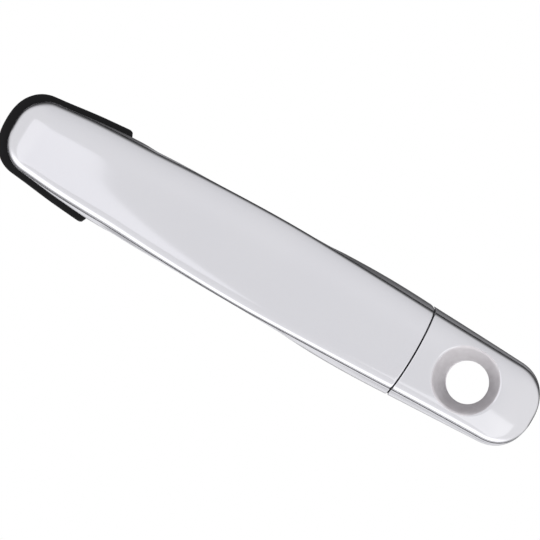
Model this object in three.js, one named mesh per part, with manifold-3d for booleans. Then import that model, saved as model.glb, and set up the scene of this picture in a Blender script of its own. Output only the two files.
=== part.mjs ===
// Outside handle of a left-hand car door: a pull grip hinged at its front end, a fixed lock cap behind it,
// and the carrier with the bell crank that sits behind the door skin. Millimetres.
// Frame: +X towards the rear of the car, +Y into the door, +Z up. X = 0 is the gap between grip and lock cap,
// Y = 0 is the carrier's bearing pads, which lie against the door skin, Z = 0 is the handle's long centreline.
// "Out" below is the distance outwards from Y = 0, so Y = -out.

import * as THREE from "three";
import { mergeVertices } from "three/addons/utils/BufferGeometryUtils.js";
import Module from "manifold-3d";

const wasm = await Module();
wasm.setup();

// ---------------------------------------------------------------- driving dimensions

const GRIP_LENGTH = 181.4;
const CAP_LENGTH = 54.6;
const SKIN = 0.8; // door skin between carrier and gaskets
const GASKET = 2.0; // gasket thickness
const SEAT_GAP = 0.5; // grip and cap stand off their gaskets by this
const SEAT = SKIN + GASKET + SEAT_GAP; // how far out the grip and the cap begin
const PARTING_GAP = 0.5; // between grip and lock cap
const SEAM_GAP = 0.35; // between an outer cover and its base
const WALL = 2.3; // moulded shells
const FIT = 0.3; // clearance round inserted pieces

const NOSE = -GRIP_LENGTH;
const FINGER_FRONT = [-138, -126]; // the front pad's underside rises between these
const FINGER_REAR = [-50, -34]; // and comes down to the rear pad between these
const GRIP_THICK = 5.2; // depth of the grip's back half over the finger gap

const PULL_DEG = 7; // grip travel
const HINGE = new THREE.Vector2(-179.5, 7); // hinge pin, x and y
const HINGE_R = 2.2;

const LOCK_X = 24.7;
const LOCK_R = 8.6; // bore for the lock cylinder
const CONE_FLOOR = 13.6; // out, where the countersink meets the bore
const CONE_SLOPE = 0.6; // radius gained per millimetre out

const LEG_X = HINGE.x + 159.1; // middle of the pull leg
const LEG_THICK = 5;
const CRANK_SWING = 35; // the crank's input arm swings this many degrees each side of upright
const CRANK_AXIS = new THREE.Vector2(17.5, -7); // crank pin, y and z
const CRANK_PIN_R = 2.5;
const legTravel = (LEG_X - HINGE.x) * Math.sin(THREE.MathUtils.degToRad(PULL_DEG));
const ARM = legTravel / 2 / Math.sin(THREE.MathUtils.degToRad(CRANK_SWING));

// ---------------------------------------------------------------- outer form

// A smooth curve through [x, value] points, level beyond its ends.
function through(points) {
  const last = points.length - 1;
  const slopes = points.map((_, i) => {
    const [a, b] = [points[Math.max(i - 1, 0)], points[Math.min(i + 1, last)]];
    return (b[1] - a[1]) / (b[0] - a[0]);
  });
  return (x) => {
    if (x <= points[0][0]) return points[0][1];
    if (x >= points[last][0]) return points[last][1];
    const i = points.findIndex((p) => p[0] > x) - 1;
    const width = points[i + 1][0] - points[i][0];
    const t = (x - points[i][0]) / width;
    const late = 3 * t ** 2 - 2 * t ** 3;
    const value = (1 - late) * points[i][1] + late * points[i + 1][1];
    const leaving = (t ** 3 - 2 * t ** 2 + t) * slopes[i];
    const arriving = (t ** 3 - t ** 2) * slopes[i + 1];
    return value + width * (leaving + arriving);
  };
}

// Half-height (Z) at the seam between cover and base, and how much further the base flares.
const seamHalf = through([
  [NOSE, 13.6], [-170, 14.7], [-155, 16.1], [-141, 16.75], [-128, 17.1], [-105, 18.2], [-80, 18.95], [-62, 19.05],
  [-40, 18.55], [-15, 17.8], [8, 17], [32, 16.5], [CAP_LENGTH, 16],
]);
const flare = through([
  [NOSE, 0.4], [-165, 0.6], [-150, 1.15], [-138, 1.65], [-120, 1.75], [-105, 1.2], [-85, 0.75], [-70, 0.65],
  [-58, 0.95], [-45, 1.55], [-28, 2.4], [-10, 2.7], [8, 2.45], [32, 1.85], [CAP_LENGTH, 1.2],
]);
// Share of the base's depth within which it flares, along its lower and its upper side.
const FLARED_BELOW = 0.4;
const FLARED_ABOVE = 0.7;
// Height (out) of the crown of the face, and of the seam.
const crownLine = through([
  [NOSE, 16.5], [-165, 21], [-140, 25], [-110, 27.2], [-70, 28], [-30, 27], [0, 25.4], [24.7, 23], [37, 20.4],
  [CAP_LENGTH, 15.5],
]);
const seamOut = through([
  [NOSE, 6.5], [-165, 9.5], [-140, 13.5], [-110, 17], [-70, 18.5], [-30, 17.5], [0, 15.5], [25, 12.5],
  [CAP_LENGTH, 6.5],
]);

// 0 at the very end, 1 from `length` inwards: a rounded end.
function roundEnd(distance, length, power = 2.3) {
  const t = THREE.MathUtils.clamp(distance / length, 0, 1);
  return (1 - (1 - t) ** power) ** (1 / power);
}
const NOSE_ROUND = 12;
const TAIL_ROUND = 15;
const endFactor = (x) => roundEnd(x - NOSE, NOSE_ROUND) * roundEnd(CAP_LENGTH - x, TAIL_ROUND);
const crownFactor = (x) => roundEnd(x - NOSE, 14, 2) * roundEnd(CAP_LENGTH - x, 20, 2);

const coverHalf = (x) => seamHalf(x) * endFactor(x);
const crownOut = (x) => seamOut(x) + (crownLine(x) - seamOut(x)) * crownFactor(x);
// 1 over the pads that stand on the gaskets, 0 over the finger gap.
function pad(x) {
  return 1 - THREE.MathUtils.smoothstep(x, ...FINGER_FRONT) + THREE.MathUtils.smoothstep(x, ...FINGER_REAR);
}
const underside = (x) => THREE.MathUtils.lerp(seamOut(x) - GRIP_THICK, SEAT, pad(x));

// X of the gap between grip and cap: it bows rearwards, and turns forwards at the upper edge.
const footHalf = seamHalf(0) + flare(0);
const BOW = 1.3;
const CORNER = 1.8;
const CORNER_FROM = 0.92; // share of the half-height where the turn begins
function partingLine(z) {
  const q = THREE.MathUtils.clamp(z / footHalf, -1, 1);
  return BOW * (0.5 - q * q) - CORNER * Math.max(0, (q - CORNER_FROM) / (1 - CORNER_FROM)) ** 2;
}

const COVER_POWER = 2.8;
const power = (value, exponent) => Math.sign(value) * Math.abs(value) ** exponent;

// One cross-section of a cover: a superellipse from the seam over the crown, `inset` inside the outer face.
function coverSection(x, segments, inset = 0) {
  const half = Math.max(coverHalf(x) - inset, 0.3);
  const foot = seamOut(x) + (inset ? -1 : SEAM_GAP / 2);
  const rise = Math.max(crownOut(x) - inset - foot, 0.3);
  return Array.from({ length: segments + 1 }, (_, i) => {
    const t = (Math.PI * i) / segments;
    const z = half * power(Math.cos(t), 2 / COVER_POWER);
    const out = foot + rise * power(Math.sin(t), 2 / COVER_POWER);
    return new THREE.Vector3(x, -out, z);
  });
}

// One cross-section of a base: from the seam down to the underside, boxy over the pads, rounded between them.
const BOXY_GRIP = 3;
const BOXY_PAD = 8;
function baseSection(x, segments, inset = 0, floor = 0) {
  const boxy = THREE.MathUtils.lerp(BOXY_GRIP, BOXY_PAD, THREE.MathUtils.clamp(pad(x), 0, 1));
  const top = seamOut(x) + (inset ? 1 : -SEAM_GAP / 2);
  const bottom = underside(x) + floor;
  return Array.from({ length: segments + 1 }, (_, i) => {
    const [across, down] = [-Math.cos((Math.PI * i) / segments), Math.sin((Math.PI * i) / segments)];
    const reach = (Math.abs(across) ** boxy + Math.abs(down) ** boxy) ** (-1 / boxy);
    const depth = down * reach;
    const flared = Math.sin((Math.PI / 2) * Math.min(1, depth / (across > 0 ? FLARED_ABOVE : FLARED_BELOW)));
    const half = (seamHalf(x) + flare(x) * flared) * endFactor(x) - inset;
    return new THREE.Vector3(x, -(top - (top - bottom) * depth), Math.max(half, 0.3) * across * reach);
  });
}

// One cross-section of the locating lip that stands up from a base inside its cover.
function lipSection(x, thickness) {
  const half = coverHalf(x) - WALL - FIT - thickness;
  const past = thickness ? 1 : 0;
  const rooted = thickness ? half : half + FIT + 0.4;
  const tapered = half - 0.9;
  const [top, ledge, root] = [seamOut(x) + 2 + past, seamOut(x) - 0.7, seamOut(x) - 3 - past];
  const corners = [
    [top, tapered], [top, -tapered], [ledge, -half], [ledge, -rooted],
    [root, -rooted], [root, rooted], [ledge, rooted], [ledge, half],
  ];
  return corners.map(([out, z]) => new THREE.Vector3(x, -out, z));
}

// ---------------------------------------------------------------- making solids

function solidOf(geometry) {
  const bare = new THREE.BufferGeometry();
  bare.setAttribute("position", geometry.getAttribute("position"));
  if (geometry.index) bare.setIndex(geometry.index);
  const merged = mergeVertices(bare, 1e-4);
  const mesh = new wasm.Mesh({
    numProp: 3,
    vertProperties: new Float32Array(merged.attributes.position.array),
    triVerts: new Uint32Array(merged.index.array),
  });
  return new wasm.Manifold(mesh);
}

// A closed solid through cross-sections of equal length, its ends closed by fans.
function loft(sections) {
  const count = sections[0].length;
  const points = sections.flat();
  const index = [];
  for (let s = 0; s < sections.length - 1; s++) {
    for (let i = 0; i < count; i++) {
      const j = (i + 1) % count;
      const [a, b, c, d] = [s * count + i, s * count + j, (s + 1) * count + i, (s + 1) * count + j];
      index.push(a, b, c, c, b, d);
    }
  }
  for (const [first, turn] of [[0, -1], [points.length - count, 1]]) {
    const centre = new THREE.Vector3();
    for (let i = 0; i < count; i++) centre.addScaledVector(points[first + i], 1 / count);
    points.push(centre);
    for (let i = 0; i < count; i++) {
      const [a, b] = [first + i, first + ((i + 1) % count)];
      index.push(...(turn > 0 ? [points.length - 1, a, b] : [points.length - 1, b, a]));
    }
  }
  const geometry = new THREE.BufferGeometry().setFromPoints(points);
  geometry.setIndex(index);
  return solidOf(geometry);
}

// A shape drawn in the plane across `axis`, as (x, y), (y, z) or (x, z), pushed from `from` to `to` along it.
function extrude(shape, axis, from, to, curveSegments = 10) {
  const geometry = new THREE.ExtrudeGeometry(shape, { depth: to - from, bevelEnabled: false, curveSegments });
  const [x, y, z] = [new THREE.Vector3(1, 0, 0), new THREE.Vector3(0, 1, 0), new THREE.Vector3(0, 0, 1)];
  const bases = { x: [y, z, x], y: [x, z, y.clone().negate()], z: [x, y, z] };
  geometry.applyMatrix4(new THREE.Matrix4().makeBasis(...bases[axis]));
  const start = { x: [from, 0, 0], y: [0, to, 0], z: [0, 0, from] }[axis];
  geometry.translate(...start);
  return solidOf(geometry);
}

function box([x0, x1], [y0, y1], [z0, z1]) {
  const geometry = new THREE.BoxGeometry(x1 - x0, y1 - y0, z1 - z0);
  geometry.translate((x0 + x1) / 2, (y0 + y1) / 2, (z0 + z1) / 2);
  return solidOf(geometry);
}

// A round bar or cone along an axis; `at` holds its two other coordinates, in X, Y, Z order.
function bar(axis, at, [from, to], radius, endRadius = radius, sides = 20) {
  const geometry = new THREE.CylinderGeometry(endRadius, radius, to - from, sides);
  const middle = (from + to) / 2;
  if (axis === "x") geometry.rotateZ(-Math.PI / 2).translate(middle, at[0], at[1]);
  if (axis === "y") geometry.translate(at[0], middle, at[1]);
  if (axis === "z") geometry.rotateX(Math.PI / 2).translate(at[0], at[1], middle);
  return solidOf(geometry);
}

// The lip between two X stations, open at both ends.
function lip(from, to, steps) {
  const ring = (start, stop, thickness) => loft(stations(start, stop, steps).map((x) => lipSection(x, thickness)));
  return ring(from, to, 0).subtract(ring(from - 1, to + 1, 1.2));
}

// All that lies ahead of the gap between grip and cap (side -1) or behind it (side 1). Its faces run straight
// out from the door, so that the grip can be pulled past the cap.
function partingSide(side) {
  const steps = (from, to, count) => Array.from({ length: count }, (_, i) => from + ((to - from) * i) / count);
  const [edge, turn] = [footHalf, footHalf * CORNER_FROM];
  const heights = [-30, ...steps(-edge, turn, 8), ...steps(turn, edge, 5), edge, 30];
  const line = heights.map((z) => [partingLine(z) + (side * PARTING_GAP) / 2, z]);
  return extrude(polygon([[side * 250, -30], ...line, [side * 250, 30]]), "y", -40, 0);
}

const union = (...solids) => solids.reduce((a, b) => a.add(b));
const without = (solid, ...cuts) => cuts.reduce((a, b) => a.subtract(b), solid);

function polygon(points) {
  return new THREE.Shape(points.map(([a, b]) => new THREE.Vector2(a, b)));
}

function roundedBox([a0, a1], [b0, b1], r) {
  const shape = new THREE.Shape();
  shape.absarc(a1 - r, b0 + r, r, -Math.PI / 2, 0);
  shape.absarc(a1 - r, b1 - r, r, 0, Math.PI / 2);
  shape.absarc(a0 + r, b1 - r, r, Math.PI / 2, Math.PI);
  shape.absarc(a0 + r, b0 + r, r, Math.PI, 1.5 * Math.PI);
  return shape;
}

// The outline round two discs: a lever arm.
function link(c1, r1, c2, r2) {
  const angle = Math.atan2(c2.y - c1.y, c2.x - c1.x);
  const spread = Math.acos((r1 - r2) / c1.distanceTo(c2));
  const shape = new THREE.Shape();
  shape.absarc(c1.x, c1.y, r1, angle + spread, angle + 2 * Math.PI - spread);
  shape.absarc(c2.x, c2.y, r2, angle - spread, angle + spread);
  return shape;
}

// X stations, packed towards whichever end is rounded.
function stations(from, to, count, roundStart, roundStop) {
  return Array.from({ length: count + 1 }, (_, i) => {
    const t = i / count;
    const start = roundStart ? 1 - Math.cos((t * Math.PI) / 2) : t;
    const stop = roundStop ? Math.sin((t * Math.PI) / 2) : t;
    const share = roundStart ? start * (1 - t) + t * t : roundStop ? stop * t + t * (1 - t) : t;
    return THREE.MathUtils.lerp(from, to, share);
  });
}

// ---------------------------------------------------------------- materials

function finish(colour, roughness, metalness) {
  return new THREE.MeshStandardMaterial({ color: colour, roughness, metalness });
}
const silver = finish(0xd5d6da, 0.22, 0.9); // bright silver paint under clear coat
const satinSilver = finish(0xaeafb3, 0.35, 0.85); // the bases, in a duller coat
const blackRubber = finish(0x121212, 0.6, 0);
const blackNylon = finish(0x1c1d1f, 0.65, 0);
const acetal = finish(0xdad8cf, 0.45, 0);
const steel = finish(0xb4b6ba, 0.35, 1);
const zinc = finish(0x9b9da1, 0.4, 1);
const springSteel = finish(0x6e7076, 0.35, 1);

// ---------------------------------------------------------------- grip

const TIP = 0.05; // a rounded end starts this far from its tip
const PAST_PARTING = 4; // how far beyond the gap the shells run before they are cut off at it
const gripEnd = -PARTING_GAP / 2;
const FLANGE = [SEAT + 4 + FIT, SEAT + 4 + FIT + 2.6]; // out, the flanges screwed down inside the grip's pads
const padFloor = (x) => THREE.MathUtils.lerp(WALL, 4, THREE.MathUtils.clamp(pad(x), 0, 1));
const HOOK_SLOT = [HINGE.x + 8.9, HINGE.x + 15.6];
const HOOK_HALF = 4.6;
const hookScrews = [[-150, -5.4], [-150, 5.4]];
const legScrews = [[-30, -3.5], [-11, -3.5]];
const LEG_FOOT = 1.5; // lower edge of the pull leg
const LEG_TOP = 14.9;

function gripCover() {
  const outer = loft(stations(NOSE + TIP, PAST_PARTING, 30, true, false).map((x) => coverSection(x, 18)));
  const inner = loft(stations(NOSE + WALL, gripEnd - WALL, 18, true, false)
    .map((x) => coverSection(x, 12, WALL)));
  return outer.subtract(inner).intersect(partingSide(-1));
}

function gripBase() {
  const outer = loft(stations(NOSE + TIP, PAST_PARTING, 32, true, false).map((x) => baseSection(x, 16)))
    .intersect(partingSide(-1));
  const hollow = loft(stations(NOSE + WALL, gripEnd - WALL, 24, true, false)
    .map((x) => baseSection(x, 10, WALL, padFloor(x))));
  const screwHoles = [...hookScrews, ...legScrews].map((at) => bar("y", at, [-SEAT - 8, -SEAT - 1], 1.8));
  const hookSlot = box([HOOK_SLOT[0] - FIT, HOOK_SLOT[1] + FIT], [-SEAT - 8, 0],
    [-HOOK_HALF - FIT, HOOK_HALF + FIT]);
  const legSlot = box([LEG_X - LEG_THICK / 2 - FIT, LEG_X + LEG_THICK / 2 + FIT], [-SEAT - 8, 0],
    [LEG_FOOT - FIT, LEG_TOP + FIT]);
  const shell = union(outer.subtract(hollow), lip(NOSE + 10, gripEnd - 4, 16));
  return without(shell, ...screwHoles, hookSlot, legSlot);
}

function hingeHook() {
  const flange = extrude(roundedBox([-172, -145.5], [-9, 9], 3), "y", -FLANGE[1], -FLANGE[0], 4);
  const arm = box(HOOK_SLOT, [-FLANGE[0] - 1, HINGE.y + 4.6], [-HOOK_HALF, HOOK_HALF]);
  const reach = box([HINGE.x, HOOK_SLOT[1]], [HINGE.y - 2, HINGE.y + 4.6], [-HOOK_HALF, HOOK_HALF]);
  const eye = bar("z", HINGE.toArray(), [-HOOK_HALF, HOOK_HALF], 4.4);
  const bore = bar("z", HINGE.toArray(), [-HOOK_HALF - 1, HOOK_HALF + 1], HINGE_R + FIT);
  const mouth = box([HINGE.x - 6, HINGE.x], [HINGE.y - HINGE_R, HINGE.y + HINGE_R],
    [-HOOK_HALF - 1, HOOK_HALF + 1]);
  const holes = hookScrews.map((at) => bar("y", at, [-FLANGE[1] - 1, -FLANGE[0] + 1], 1.9, 1.9, 12));
  return without(union(flange, arm, reach, eye), bore, mouth, ...holes);
}

// Where the crank's cross-pin stands with the grip closed, y and z.
const crankTip = new THREE.Vector2(ARM, 0)
  .rotateAround(new THREE.Vector2(), THREE.MathUtils.degToRad(90 - CRANK_SWING))
  .add(CRANK_AXIS);
const CROSS_PIN_R = 2.5;
const STOP_LUG = 3.2 + legTravel + 2.2; // y where the leg's stop lug begins
const legEnd = crankTip.x + CROSS_PIN_R + 4;

function pullLeg() {
  const flange = extrude(roundedBox([-35, -6], [-9, 12.5], 3), "y", -FLANGE[1], -FLANGE[0], 4);
  const blade = extrude(polygon([
    [-FLANGE[0] - 1, LEG_FOOT], [STOP_LUG, LEG_FOOT], [STOP_LUG, -1.2], [legEnd - 2, -1.2], [legEnd, 1],
    [legEnd, 13], [legEnd - 2, LEG_TOP], [-FLANGE[0] - 1, LEG_TOP],
  ]), "x", LEG_X - LEG_THICK / 2, LEG_X + LEG_THICK / 2);
  const slack = 0.9; // the cross-pin's play in the slot, as the leg tilts with the grip
  const lowest = crankTip.y - CROSS_PIN_R - 0.4;
  const highest = CRANK_AXIS.y + ARM + CROSS_PIN_R + 0.4;
  const reach = [crankTip.x - CROSS_PIN_R - slack, crankTip.x + CROSS_PIN_R + slack];
  const across = [LEG_X - LEG_THICK, LEG_X + LEG_THICK];
  const slot = extrude(roundedBox(reach, [lowest, highest], 2.4), "x", ...across, 4);
  const lightening = extrude(roundedBox([-2, 15], [5, 11.4], 1.5), "x", ...across, 3);
  const holes = legScrews.map((at) => bar("y", at, [-FLANGE[1] - 1, -FLANGE[0] + 1], 1.9, 1.9, 12));
  return without(union(flange, blade), slot, lightening, ...holes);
}

// Rubber pad on the leg's stop lug, which meets the carrier at full pull.
function stopBuffer() {
  return box([LEG_X - 2.2, LEG_X + 2.2], [STOP_LUG - 1.5, STOP_LUG - FIT], [-1.1, LEG_FOOT - FIT]);
}

function flangeScrew([x, z]) {
  const head = bar("y", [x, z], [-FLANGE[1] - FIT - 1.9, -FLANGE[1] - FIT], 2.2, 2.9, 16);
  const shank = bar("y", [x, z], [-FLANGE[1] - FIT - 0.1, -SEAT - 1.4], 1.5, 1.5, 12);
  const socket = bar("y", [x, z], [-FLANGE[1] - FIT - 3, -FLANGE[1] - FIT - 0.9], 1.3, 1.3, 6);
  return union(head, shank).subtract(socket);
}

// ---------------------------------------------------------------- lock cap

const capStart = PARTING_GAP / 2;
const capHollow = [capStart + BOW / 2 + WALL, CAP_LENGTH - WALL];
const CAP_LEG = [42.5, 47]; // x of the tongue that the cap screw holds
const CAP_SCREW_Y = 12;

function coneBar(from, to, extra) {
  const radius = (out) => LOCK_R + CONE_SLOPE * (out - CONE_FLOOR) + extra;
  return bar("y", [LOCK_X, 0], [-to, -from], radius(to), radius(from), 40);
}

function capCover() {
  const outer = loft(stations(-PAST_PARTING, CAP_LENGTH - TIP, 18, false, true).map((x) => coverSection(x, 18)))
    .intersect(partingSide(1));
  const inner = loft(stations(...capHollow, 12, false, true).map((x) => coverSection(x, 12, WALL)));
  const coneWall = coneBar(CONE_FLOOR, 30, 2).intersect(outer);
  const sleeve = bar("y", [LOCK_X, 0], [-CONE_FLOOR, -CONE_FLOOR + 2.2], LOCK_R + 2, LOCK_R + 2, 40);
  const bore = bar("y", [LOCK_X, 0], [-CONE_FLOOR - 0.1, -CONE_FLOOR + 3], LOCK_R, LOCK_R, 40);
  return without(union(outer.subtract(inner), coneWall, sleeve), coneBar(CONE_FLOOR, 32, 0), bore);
}

function capBase() {
  const outer = loft(stations(-PAST_PARTING, CAP_LENGTH - TIP, 18, false, true).map((x) => baseSection(x, 16)))
    .intersect(partingSide(1));
  const hollow = loft(stations(...capHollow, 12, false, true).map((x) => baseSection(x, 10, WALL, WALL)));
  const lockHole = bar("y", [LOCK_X, 0], [-SEAT - 4, 0], 12, 12, 32);
  const tongue = extrude(roundedBox([-SEAT - 1, 17], [-5.8, 5.8], 1), "x", ...CAP_LEG, 3);
  const screwHole = bar("x", [CAP_SCREW_Y, 0], [CAP_LEG[0] - 1, CAP_LEG[1] + 1], 2.3, 2.3, 12);
  return without(union(outer.subtract(hollow), lip(capStart + 4, 41, 8), tongue), lockHole, screwHole);
}

function capScrew() {
  const head = bar("x", [CAP_SCREW_Y, 0], [51.5, 53.7], 3.8, 3.4, 20);
  const shank = bar("x", [CAP_SCREW_Y, 0], [41.8, 51.6], 2, 2, 14);
  const socket = bar("x", [CAP_SCREW_Y, 0], [52.3, 55], 1.7, 1.7, 6);
  return union(head, shank).subtract(socket);
}

// ---------------------------------------------------------------- gaskets

// The plan outline of the handle's foot, grown by `grow`, between two X stations.
function footOutline(from, to, grow, tip, tail) {
  const ends = (x) => roundEnd(x - tip, NOSE_ROUND + 1) * roundEnd(tail - x, TAIL_ROUND);
  const half = (x) => (seamHalf(x) + flare(x) + grow) * ends(x);
  const xs = stations(from, to, 14, from === tip, to === tail);
  const upper = xs.map((x) => [x, half(x)]);
  return [...upper, ...upper.map(([x, z]) => [x, -z]).reverse()].filter((p, i, all) => {
    const next = all[(i + 1) % all.length];
    return Math.hypot(p[0] - next[0], p[1] - next[1]) > 1e-3;
  });
}

const GASKET_FRONT = [-185.4, -138.3];
const HOOK_WINDOW = HOOK_HALF + 1;
function frontGasket() {
  const outline = footOutline(...GASKET_FRONT, 2.5, GASKET_FRONT[0], 200);
  const sheet = extrude(polygon(outline), "y", -SKIN - GASKET, -SKIN);
  const corner = extrude(roundedBox([-200, GASKET_FRONT[1]], [-21.1, 21.1], 2.4), "y", -5, 0, 5);
  const window = box([-174, -162.5], [-5, 0], [-HOOK_WINDOW, HOOK_WINDOW]);
  const nutHole = bar("y", FRONT_NUT, [-5, 0], PAD_R + 0.5, PAD_R + 0.5, 24);
  return without(sheet.intersect(corner), window, nutHole);
}

const LEG_WINDOW = [[-26.8, -16.2], [LEG_FOOT - 0.8, LEG_TOP + 0.7]];
const CAP_LEG_WINDOW = [[CAP_LEG[0] - 0.5, CAP_LEG[1] + 0.5], [-6.5, 6.5]];
function rearGasket() {
  const tail = CAP_LENGTH - 0.9;
  const sheet = extrude(polygon(footOutline(-36, tail, -0.9, -300, tail)), "y", -SKIN - GASKET, -SKIN);
  const lockHole = bar("y", [LOCK_X, 0], [-5, 0], 12.6, 12.6, 32);
  const doorHole = extrude(roundedBox([-31, 7.4], [-15.8, 15.8], 4), "y", -5, 0, 4);
  const tongueWindow = box(CAP_LEG_WINDOW[0], [-5, 0], CAP_LEG_WINDOW[1]);
  return without(sheet, lockHole, doorHole, tongueWindow);
}

// ---------------------------------------------------------------- carrier

const PLATES = [1.3, 3.2]; // y, the carrier's face plates
const PAD_R = 5.2; // the pads round its nuts, which bear on the door skin at Y = 0
const FRONT_NUT = [-147.6, 0]; // x and z of the captive nuts
const REAR_NUTS = [[1.2, 10.2], [1.2, -10.2]];
const NUT_FLATS = 8;
const NUT_Y = [5.3, 9.3];
const EAR_1 = [-44, -40];
const EAR_2 = [-10, -6];

function nutBoss([x, z]) {
  const hexRadius = NUT_FLATS / 2 / Math.cos(Math.PI / 6) + FIT;
  const boss = bar("y", [x, z], [PLATES[1] - 1, NUT_Y[1] - 0.3], 6.3, 6.3, 20);
  return { boss, pocket: bar("y", [x, z], [NUT_Y[0] - FIT, NUT_Y[1] + 1], hexRadius, hexRadius, 6),
    hole: bar("y", [x, z], [-1, NUT_Y[0]], 2.9, 2.9, 16) };
}

function carrierFront() {
  const sheet = extrude(roundedBox([-177, -138.5], [-13.2, 13.2], 6), "y", ...PLATES, 5);
  const bearing = bar("y", FRONT_NUT, [0, PLATES[1] - 0.5], PAD_R, PAD_R, 24);
  const rim = without(extrude(roundedBox([-176, -139.5], [-12.6, 12.6], 5.5), "y", PLATES[1] - 0.5, 9, 5),
    extrude(roundedBox([-174, -141.5], [-10.6, 10.6], 4), "y", PLATES[1] - 1, 10, 5));
  const cheek = (z) => extrude(cheekOutline([-178, -152]), "z", z, z + 3.3, 6);
  const opening = box([-190, -157], [-1, 12], [-HOOK_HALF - 0.5, HOOK_HALF + 0.5]);
  const pinHole = bar("z", HINGE.toArray(), [-12, 12], HINGE_R + FIT);
  const cheeks = [cheek(HOOK_HALF + 0.5), cheek(-HOOK_HALF - 3.8)];
  return without(union(sheet, bearing, rim, ...cheeks), opening, pinHole);
}

// Side view of a hinge cheek: a wall on the face plate that runs forwards into the hinge eye.
function cheekOutline([front, rear]) {
  const shape = new THREE.Shape();
  shape.moveTo(front, PLATES[0]);
  shape.lineTo(rear, PLATES[0]);
  shape.lineTo(rear, 9);
  shape.lineTo(rear - 4, HINGE.y + 4);
  shape.absarc(HINGE.x, HINGE.y, 4, Math.PI / 2, 1.3 * Math.PI);
  return shape;
}

// The beam that joins the two ends of the carrier, bowed inwards to leave room for the door's finger recess.
const BEAM_HALF = 10.5;
function bridge() {
  const path = new THREE.SplineCurve([
    [-146, 7.5], [-137, 11], [-128, 22], [-117, 29], [-90, 30.5],
    [-68, 29], [-57, 21], [-49.5, 10.5], [-41.5, 6.5],
  ].map(([x, y]) => new THREE.Vector2(x, y)));
  const band = (thick, steps) => {
    const centre = path.getPoints(steps);
    const side = (sign) => centre.map((p, i) => {
      const tangent = path.getTangent(i / steps);
      return new THREE.Vector2(p.x - sign * tangent.y * thick / 2, p.y + sign * tangent.x * thick / 2);
    });
    return new THREE.Shape([...side(-1), ...side(1).reverse()]);
  };
  const web = extrude(band(2.6, 24), "z", -BEAM_HALF, BEAM_HALF);
  const flanges = [-BEAM_HALF, BEAM_HALF - 2.2].map((z) => extrude(band(7.5, 24), "z", z, z + 2.2));
  const windows = [-108, -90, -72]
    .map((x) => extrude(roundedBox([x - 6, x + 6], [-5.5, 5.5], 3), "y", 20, 40, 4));
  return without(union(web, ...flanges), ...windows);
}

function crankEar([x0, x1]) {
  const eye = new THREE.Vector2(CRANK_AXIS.x, CRANK_AXIS.y);
  const foot = new THREE.Vector2(0, CRANK_AXIS.y);
  const wall = extrude(link(foot, 7.5, eye, 5.6), "x", x0, x1, 8);
  return wall.intersect(box([x0 - 1, x1 + 1], [PLATES[0] + 0.5, 40], [-17.4, 10]));
}

function carrierRear() {
  const sheet = extrude(polygon(footOutline(-50, 53.3, -2.2, -300, 53.3)), "y", ...PLATES);
  const nuts = REAR_NUTS.map((at) => new THREE.Vector2(...at));
  const bearing = extrude(link(nuts[1], PAD_R, nuts[0], PAD_R), "y", 0, PLATES[1] - 0.5);
  const rails = [[15.2, 17], [-17, -15.2]].map((z) => box([-49, 28], [PLATES[1] - 0.5, 6.6], z));
  const lockRing = bar("y", [LOCK_X, 0], [PLATES[0], 14], 15.9, 15.9, 36);
  const lockHole = bar("y", [LOCK_X, 0], [-1, 20], 13.5, 13.5, 36);
  const screwWall = extrude(roundedBox([PLATES[0], 19], [-7, 7], 3), "x", 48.1, 51.1, 4);
  const underSpring = CRANK_AXIS.y - SPRING.radius - SPRING.wire - FIT;
  const springRest = box([-40.4, -36.8], [PLATES[1] - 0.5, 9], [-15.5, underSpring]);
  const gussets = [[-7, -5], [5, 7]].map((z) => box([LOCK_X + 13, 50], [PLATES[0], 12], z));
  const screwHole = bar("x", [CAP_SCREW_Y, 0], [47, 52], 2.3, 2.3, 14);
  const pinHole = bar("x", CRANK_AXIS.toArray(), [-50, 0], CRANK_PIN_R + FIT);
  const windows = [LEG_WINDOW, CAP_LEG_WINDOW].map(([x, z]) => box(x, [-1, 20], z));
  const ears = [EAR_1, EAR_2].map(crankEar);
  const body = union(sheet, bearing, ...rails, lockRing, screwWall, springRest, ...gussets, ...ears);
  return without(body, lockHole, screwHole, pinHole, ...windows);
}

function carrier() {
  const nuts = [FRONT_NUT, ...REAR_NUTS].map(nutBoss);
  const body = union(carrierFront(), carrierRear(), bridge(), ...nuts.map((n) => n.boss));
  return without(body, ...nuts.map((n) => n.pocket), ...nuts.map((n) => n.hole));
}

function hexNut([x, z]) {
  const radius = NUT_FLATS / 2 / Math.cos(Math.PI / 6);
  return bar("y", [x, z], NUT_Y, radius, radius, 6).subtract(bar("y", [x, z], [0, 12], 2.1, 2.1, 16));
}

function hingePin() {
  return bar("z", HINGE.toArray(), [-8.3, 8.3], HINGE_R);
}

function crankPin() {
  const at = CRANK_AXIS.toArray();
  const head = bar("x", at, [EAR_1[0] - 1.8, EAR_1[0] - 0.4], 4.2);
  return bar("x", at, [EAR_1[0] - 1, EAR_2[1] + 2.6], CRANK_PIN_R).add(head);
}

function pinClip() {
  const at = CRANK_AXIS.toArray();
  const x = [EAR_2[1] + 0.5, EAR_2[1] + 1.4];
  const mouth = box([x[0] - 1, x[1] + 1], [at[0], at[0] + 8], [at[1] - 1.7, at[1] + 1.7]);
  return without(bar("x", at, x, 4.8), bar("x", at, [x[0] - 1, x[1] + 1], CRANK_PIN_R + FIT), mouth);
}

// ---------------------------------------------------------------- bell crank

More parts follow.
